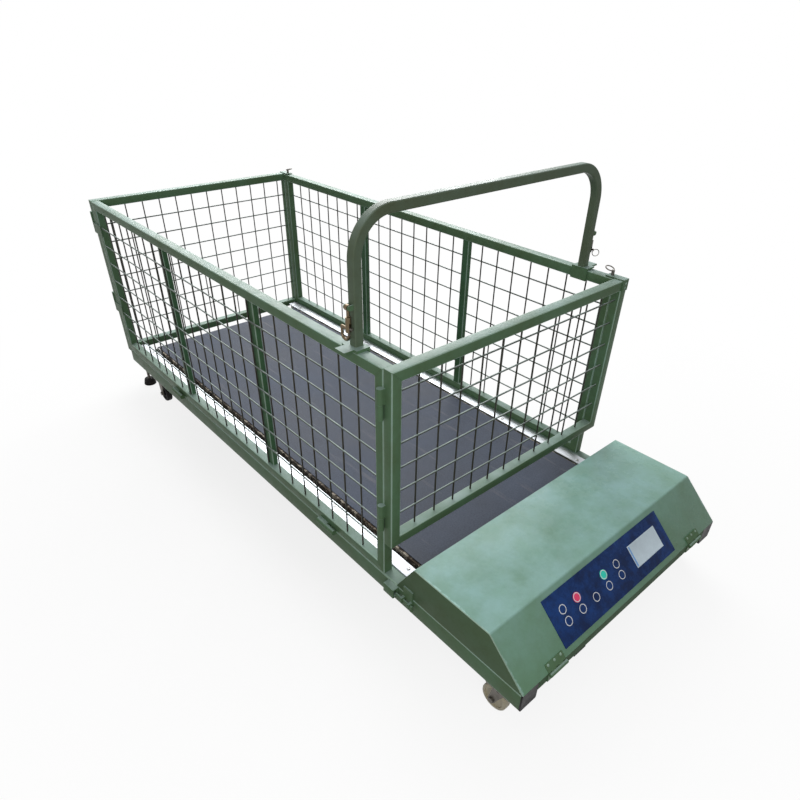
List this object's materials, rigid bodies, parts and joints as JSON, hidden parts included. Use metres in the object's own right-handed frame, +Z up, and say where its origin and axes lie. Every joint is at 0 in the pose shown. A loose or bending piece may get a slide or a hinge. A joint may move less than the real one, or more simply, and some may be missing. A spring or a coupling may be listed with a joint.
{
  "type": "dog treadmill",
  "caption": "Low walking belt on a tube base with casters, a folding wire-mesh cage with end gates, a tether bar with snap hooks and a tipping hood with a key panel.",
  "frame": {"origin": "on the floor, at the middle of the footprint", "axes": "+X to the right seen from the hood, +Y from the hood to the rear gate, +Z up"},
  "size_m": [0.808, 1.9626, 0.923],
  "materials": {
    "paint": "sea-green paint, satin",
    "black_plastic": "moulded",
    "deck_wood": "plain board",
    "belt_rubber": "woven ribbed face",
    "bright_strip": "bright",
    "zinc": "zinc plated",
    "bearing_iron": "cast",
    "motor_paint": "dark paint",
    "black_rubber": "moulded",
    "cream_plastic": "moulded",
    "brass": "cast",
    "panel_blue": "printed film, left bare",
    "window_grey": "clear film over a grey display",
    "key_red": "printed film",
    "key_green": "printed film"
  },
  "bodies": {
    "base": {"base_rails": "paint", "cross_members": "paint", "rail_caps": "black_plastic", "deck_board": "deck_wood", "running_belt": "belt_rubber", "side_strips": "bright_strip", "strip_screws": "zinc", "bearing_blocks": "bearing_iron", "tension_bolts": "zinc", "motor_tray": "zinc", "motor": "motor_paint", "drive_belt": "black_rubber", "controller_box": "black_plastic", "caster_mounts": "zinc", "rear_feet": "black_rubber", "base_hinges": "paint"},
    "drive_roller": {"drive_roller": "zinc", "drive_pulley": "black_plastic"},
    "rear_roller": {"rear_roller": "zinc"},
    "motor_pulley": {"motor_pulley": "zinc"},
    "left_panel": {"left_panel_frame": "paint", "left_panel_mesh": "paint", "left_panel_hinges": "paint"},
    "right_panel": {"right_panel_frame": "paint", "right_panel_mesh": "paint", "right_panel_hinges": "paint"},
    "front_gate": {"front_gate_frame": "paint", "front_gate_mesh": "paint", "front_gate_hinges": "paint"},
    "rear_gate": {"rear_gate_frame": "paint", "rear_gate_mesh": "paint", "rear_gate_hinges": "paint"},
    "tether": {"tether_bar": "paint", "tether_feet": "paint"},
    "hood": {"hood_shell": "paint", "hood_hinges": "paint", "panel_overlay": "panel_blue", "display_window": "window_grey"},
    "front_gate_pin": {"front_gate_pin": "zinc"},
    "rear_gate_pin": {"rear_gate_pin": "zinc"},
    "left_snap": {"left_snap": "brass"},
    "left_snap_bolt": {"left_snap_bolt": "zinc"},
    "right_snap": {"right_snap": "brass"},
    "right_snap_bolt": {"right_snap_bolt": "zinc"},
    "hood_bolt": {"hood_bolt": "paint"},
    "left_fork": {"left_fork": "zinc"},
    "right_fork": {"right_fork": "zinc"},
    "front_left_wheel": {"front_left_wheel": "cream_plastic"},
    "front_right_wheel": {"front_right_wheel": "cream_plastic"},
    "rear_left_wheel": {"rear_left_wheel": "black_rubber"},
    "rear_right_wheel": {"rear_right_wheel": "black_rubber"},
    "key_1": {"key_1": "panel_blue"},
    "key_2": {"key_2": "key_red"},
    "key_3": {"key_3": "key_green"},
    "key_4": {"key_4": "panel_blue"},
    "key_5": {"key_5": "panel_blue"},
    "key_6": {"key_6": "panel_blue"},
    "key_7": {"key_7": "panel_blue"},
    "key_8": {"key_8": "panel_blue"},
    "key_9": {"key_9": "panel_blue"}
  },
  "joints": [
    {"name": "left_panel_fold", "type": "hinge", "parent": "base", "child": "left_panel", "pos_m": [-0.3875, 0, 0.1383], "axis": [0, -1, 0], "range_deg": [0, 90]},
    {"name": "right_panel_fold", "type": "hinge", "parent": "base", "child": "right_panel", "pos_m": [0.3875, 0, 0.1383], "axis": [0, 1, 0], "range_deg": [0, 90]},
    {"name": "front_gate_swing", "type": "hinge", "parent": "left_panel", "child": "front_gate", "pos_m": [-0.3875, -0.5611, 0.45], "axis": [0, 0, -1], "range_deg": [0, 90]},
    {"name": "rear_gate_swing", "type": "hinge", "parent": "left_panel", "child": "rear_gate", "pos_m": [-0.3784, 0.9763, 0.4], "axis": [0, 0, 1], "range_deg": [0, 90]},
    {"name": "front_gate_pin_drop", "type": "slide", "parent": "front_gate", "child": "front_gate_pin", "axis": [0, 0, 1], "range_m": [-0.008, 0]},
    {"name": "rear_gate_pin_drop", "type": "slide", "parent": "rear_gate", "child": "rear_gate_pin", "axis": [0, 0, 1], "range_m": [-0.008, 0]},
    {"name": "tether_lift", "type": "slide", "parent": "left_panel", "child": "tether", "axis": [0, 0, 1], "range_m": [0, 0.06]},
    {"name": "left_snap_swing", "type": "hinge", "parent": "tether", "child": "left_snap", "pos_m": [-0.381, -0.4628, 0.752], "axis": [0, 1, 0], "range_deg": [0, 60]},
    {"name": "right_snap_swing", "type": "hinge", "parent": "tether", "child": "right_snap", "pos_m": [0.381, -0.4628, 0.752], "axis": [0, -1, 0], "range_deg": [0, 60]},
    {"name": "left_snap_bolt_draw", "type": "slide", "parent": "left_snap", "child": "left_snap_bolt", "axis": [0, 0, 1], "range_m": [0, 0.007], "stiffness_N_per_m": 300, "springref_m": -0.005},
    {"name": "right_snap_bolt_draw", "type": "slide", "parent": "right_snap", "child": "right_snap_bolt", "axis": [0, 0, 1], "range_m": [0, 0.007], "stiffness_N_per_m": 300, "springref_m": -0.005},
    {"name": "hood_tip", "type": "hinge", "parent": "base", "child": "hood", "pos_m": [0, -0.9768, 0.136], "axis": [1, 0, 0], "range_deg": [0, 90]},
    {"name": "hood_bolt_shoot", "type": "slide", "parent": "hood", "child": "hood_bolt", "axis": [0, 1, 0], "range_m": [0, 0.02]},
    {"name": "drive_roller_spin", "type": "hinge", "parent": "base", "child": "drive_roller", "pos_m": [0, -0.7168, 0.1182], "axis": [1, 0, 0], "continuous": true},
    {"name": "rear_roller_spin", "type": "hinge", "parent": "base", "child": "rear_roller", "pos_m": [0, 0.8662, 0.1182], "axis": [1, 0, 0], "continuous": true},
    {"name": "motor_pulley_spin", "type": "hinge", "parent": "base", "child": "motor_pulley", "pos_m": [0.3, -0.8218, 0.151], "axis": [1, 0, 0], "continuous": true},
    {"name": "left_fork_swivel", "type": "hinge", "parent": "base", "child": "left_fork", "pos_m": [-0.355, -0.9118, 0.078], "axis": [0, 0, 1], "continuous": true},
    {"name": "front_left_wheel_roll", "type": "hinge", "parent": "left_fork", "child": "front_left_wheel", "pos_m": [-0.355, -0.8968, 0.032], "axis": [1, 0, 0], "continuous": true},
    {"name": "rear_left_wheel_roll", "type": "hinge", "parent": "base", "child": "rear_left_wheel", "pos_m": [-0.355, 0.7332, 0.032], "axis": [1, 0, 0], "continuous": true},
    {"name": "right_fork_swivel", "type": "hinge", "parent": "base", "child": "right_fork", "pos_m": [0.355, -0.9118, 0.078], "axis": [0, 0, 1], "continuous": true},
    {"name": "front_right_wheel_roll", "type": "hinge", "parent": "right_fork", "child": "front_right_wheel", "pos_m": [0.355, -0.8968, 0.032], "axis": [1, 0, 0], "continuous": true},
    {"name": "rear_right_wheel_roll", "type": "hinge", "parent": "base", "child": "rear_right_wheel", "pos_m": [0.355, 0.7332, 0.032], "axis": [1, 0, 0], "continuous": true},
    {"name": "key_1_press", "type": "slide", "parent": "hood", "child": "key_1", "axis": [0, -0.6818, 0.7316], "range_m": [-0.0008, 0], "stiffness_N_per_m": 1000, "springref_m": 0.0005},
    {"name": "key_2_press", "type": "slide", "parent": "hood", "child": "key_2", "axis": [0, -0.6818, 0.7316], "range_m": [-0.0008, 0], "stiffness_N_per_m": 1000, "springref_m": 0.0005},
    {"name": "key_3_press", "type": "slide", "parent": "hood", "child": "key_3", "axis": [0, -0.6818, 0.7316], "range_m": [-0.0008, 0], "stiffness_N_per_m": 1000, "springref_m": 0.0005},
    {"name": "key_4_press", "type": "slide", "parent": "hood", "child": "key_4", "axis": [0, -0.6818, 0.7316], "range_m": [-0.0008, 0], "stiffness_N_per_m": 1000, "springref_m": 0.0005},
    {"name": "key_5_press", "type": "slide", "parent": "hood", "child": "key_5", "axis": [0, -0.6818, 0.7316], "range_m": [-0.0008, 0], "stiffness_N_per_m": 1000, "springref_m": 0.0005},
    {"name": "key_6_press", "type": "slide", "parent": "hood", "child": "key_6", "axis": [0, -0.6818, 0.7316], "range_m": [-0.0008, 0], "stiffness_N_per_m": 1000, "springref_m": 0.0005},
    {"name": "key_7_press", "type": "slide", "parent": "hood", "child": "key_7", "axis": [0, -0.6818, 0.7316], "range_m": [-0.0008, 0], "stiffness_N_per_m": 1000, "springref_m": 0.0005},
    {"name": "key_8_press", "type": "slide", "parent": "hood", "child": "key_8", "axis": [0, -0.6818, 0.7316], "range_m": [-0.0008, 0], "stiffness_N_per_m": 1000, "springref_m": 0.0005},
    {"name": "key_9_press", "type": "slide", "parent": "hood", "child": "key_9", "axis": [0, -0.6818, 0.7316], "range_m": [-0.0008, 0], "stiffness_N_per_m": 1000, "springref_m": 0.0005}
  ],
  "couplings": [
    {"joint": "rear_roller_spin", "follows": "drive_roller_spin", "ratio": 1},
    {"joint": "motor_pulley_spin", "follows": "drive_roller_spin", "ratio": 1.9375}
  ]
}
